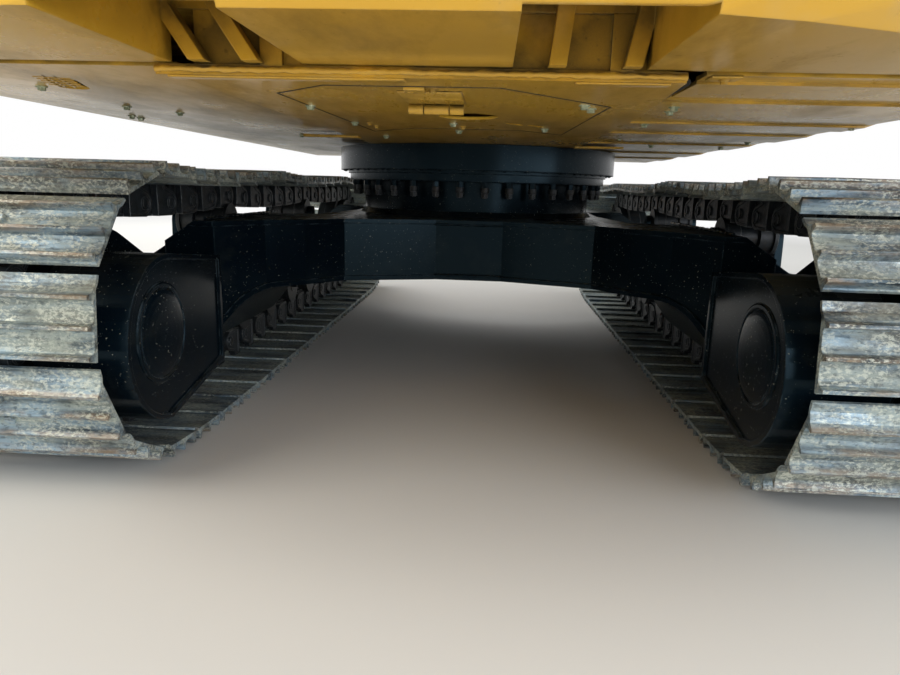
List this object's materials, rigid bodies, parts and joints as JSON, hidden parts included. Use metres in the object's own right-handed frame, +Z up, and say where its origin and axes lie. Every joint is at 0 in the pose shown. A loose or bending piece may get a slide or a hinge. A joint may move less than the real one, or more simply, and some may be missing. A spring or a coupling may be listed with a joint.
{
  "type": "crawler excavator",
  "caption": "Crawler excavator: two steel tracks, slewing upper structure with cab and counterweight, and an arm of boom, stick and bucket worked by cylinders.",
  "frame": {"origin": "middle of the machine's length and width, on the ground that the tracks stand on", "axes": "+X to the front, where the bucket is, +Y to the left, where the cab is, +Z up"},
  "size_m": [9.8483, 3.08, 4.9224],
  "materials": {
    "body_paint": "glossy construction yellow enamel, dusty",
    "undercarriage_paint": "gloss black enamel, dusty",
    "roller_steel": "painted castings with bright worn treads",
    "track_steel": "worn steel with tan rust",
    "rod_chrome": "hard chrome",
    "window_glass": "tinted safety glass",
    "dark_iron": "dark castings and burnt steel",
    "cab_trim": "moulded trim and woven seat",
    "black_plastic": "moulded black plastic"
  },
  "bodies": {
    "undercarriage": {"car_body": "undercarriage_paint", "track_frame_left": "undercarriage_paint", "track_frame_right": "undercarriage_paint", "motor_guard_left": "undercarriage_paint", "motor_guard_right": "undercarriage_paint", "sprockets": "roller_steel", "idler_wheels": "roller_steel", "bottom_rollers": "roller_steel", "carrier_rollers": "roller_steel", "track_left": "track_steel", "track_right": "track_steel", "slewing_ring": "undercarriage_paint"},
    "upper": {"ring_band": "undercarriage_paint", "main_frame": "body_paint", "belly_pans": "body_paint", "belly_hatch": "body_paint", "counterweight": "body_paint", "engine": "dark_iron", "fuel_tank": "body_paint", "hydraulic_tank": "body_paint", "tool_box": "body_paint", "side_housing_left": "body_paint", "side_housing_right": "body_paint", "centre_cover": "body_paint", "exhaust": "dark_iron", "swing_motor": "dark_iron", "handrails": "body_paint", "mirrors": "black_plastic", "lamps": "black_plastic", "cab_shell": "body_paint", "cab_glass": "window_glass", "cab_seat": "cab_trim"},
    "hood": {"engine_hood": "body_paint"},
    "left_door": {"door_left": "body_paint"},
    "right_door": {"door_right": "body_paint"},
    "cab_door": {"cab_door": "body_paint", "cab_door_glass": "window_glass"},
    "boom": {"boom": "body_paint"},
    "boom_barrels": {"boom_barrels": "body_paint"},
    "boom_rods": {"boom_rods": "rod_chrome"},
    "stick": {"stick": "body_paint"},
    "stick_barrel": {"stick_barrel": "body_paint"},
    "stick_rod": {"stick_rod": "rod_chrome"},
    "bucket": {"bucket": "body_paint"},
    "guide_links": {"guide_links": "body_paint"},
    "power_link": {"power_link": "body_paint"},
    "bucket_barrel": {"bucket_barrel": "body_paint"},
    "bucket_rod": {"bucket_rod": "rod_chrome"}
  },
  "joints": [
    {"name": "swing", "type": "hinge", "parent": "undercarriage", "child": "upper", "pos_m": [-1.98428, 0, 0.904], "axis": [0, 0, 1], "continuous": true},
    {"name": "boom_lift", "type": "hinge", "parent": "upper", "child": "boom", "pos_m": [-1.86428, 0, 1.79], "axis": [0, -1, 0], "range_deg": [-63, 39]},
    {"name": "boom_barrel_tilt", "type": "hinge", "parent": "upper", "child": "boom_barrels", "pos_m": [-1.22428, 0, 1.33], "axis": [0, -1, 0], "range_deg": [-66.6, 41.3]},
    {"name": "boom_rod_slide", "type": "slide", "parent": "boom_barrels", "child": "boom_rods", "axis": [0.5462, 0, 0.8376], "range_m": [-0.721, 0.447]},
    {"name": "stick_swing", "type": "hinge", "parent": "boom", "child": "stick", "pos_m": [3.38276, 0, 3.96509], "axis": [0, -1, 0], "range_deg": [-60, 62]},
    {"name": "stick_barrel_tilt", "type": "hinge", "parent": "boom", "child": "stick_barrel", "pos_m": [-0.15921, 0, 4.15306], "axis": [0, -1, 0], "range_deg": [-3.2, 3.3]},
    {"name": "stick_rod_slide", "type": "slide", "parent": "stick_barrel", "child": "stick_rod", "axis": [0.983, 0, 0.1838], "range_m": [-0.791, 0.766]},
    {"name": "bucket_curl", "type": "hinge", "parent": "stick", "child": "bucket", "pos_m": [4.28509, 0, 1.188], "axis": [0, -1, 0], "range_deg": [-76, 98]},
    {"name": "guide_link_turn", "type": "hinge", "parent": "stick", "child": "guide_links", "pos_m": [4.20927, 0, 1.6155], "axis": [0, -1, 0], "range_deg": [-56.1, 72.4]},
    {"name": "power_link_turn", "type": "hinge", "parent": "guide_links", "child": "power_link", "pos_m": [4.84927, 0, 1.61662], "axis": [0, -1, 0], "range_deg": [-46.8, 36.3]},
    {"name": "bucket_barrel_tilt", "type": "hinge", "parent": "stick", "child": "bucket_barrel", "pos_m": [4.09341, 0, 3.84901], "axis": [0, -1, 0], "range_deg": [-2.7, 3.5]},
    {"name": "bucket_rod_slide", "type": "slide", "parent": "bucket_barrel", "child": "bucket_rod", "axis": [0.3207, 0, -0.9472], "range_m": [-0.679, 0.527]},
    {"name": "cab_door_swing", "type": "hinge", "parent": "upper", "child": "cab_door", "pos_m": [-1.84228, 1.371, 1.5], "axis": [0, 0, 1], "range_deg": [0, 165]},
    {"name": "left_door_swing", "type": "hinge", "parent": "upper", "child": "left_door", "pos_m": [-4.13128, 1.353, 1.6], "axis": [0, 0, 1], "range_deg": [0, 100]},
    {"name": "right_door_swing", "type": "hinge", "parent": "upper", "child": "right_door", "pos_m": [-4.13128, -1.353, 1.6], "axis": [0, 0, -1], "range_deg": [0, 100]},
    {"name": "hood_lift", "type": "hinge", "parent": "upper", "child": "hood", "pos_m": [-2.94428, 0, 2.0603], "axis": [0, 1, 0], "range_deg": [0, 60]}
  ],
  "couplings": [
    {"joint": "boom_barrel_tilt", "follows": "boom_lift", "ratio": 1.0541},
    {"joint": "boom_rod_slide", "follows": "boom_lift", "m_per_rad": 0.6543},
    {"joint": "stick_barrel_tilt", "follows": "stick_swing", "ratio": 0.0501},
    {"joint": "stick_rod_slide", "follows": "stick_swing", "m_per_rad": -0.73},
    {"joint": "guide_link_turn", "follows": "bucket_curl", "ratio": 0.7368},
    {"joint": "power_link_turn", "follows": "bucket_curl", "ratio": -0.4758},
    {"joint": "bucket_barrel_tilt", "follows": "bucket_curl", "ratio": 0.0339},
    {"joint": "bucket_rod_slide", "follows": "bucket_curl", "m_per_rad": -0.3962}
  ]
}
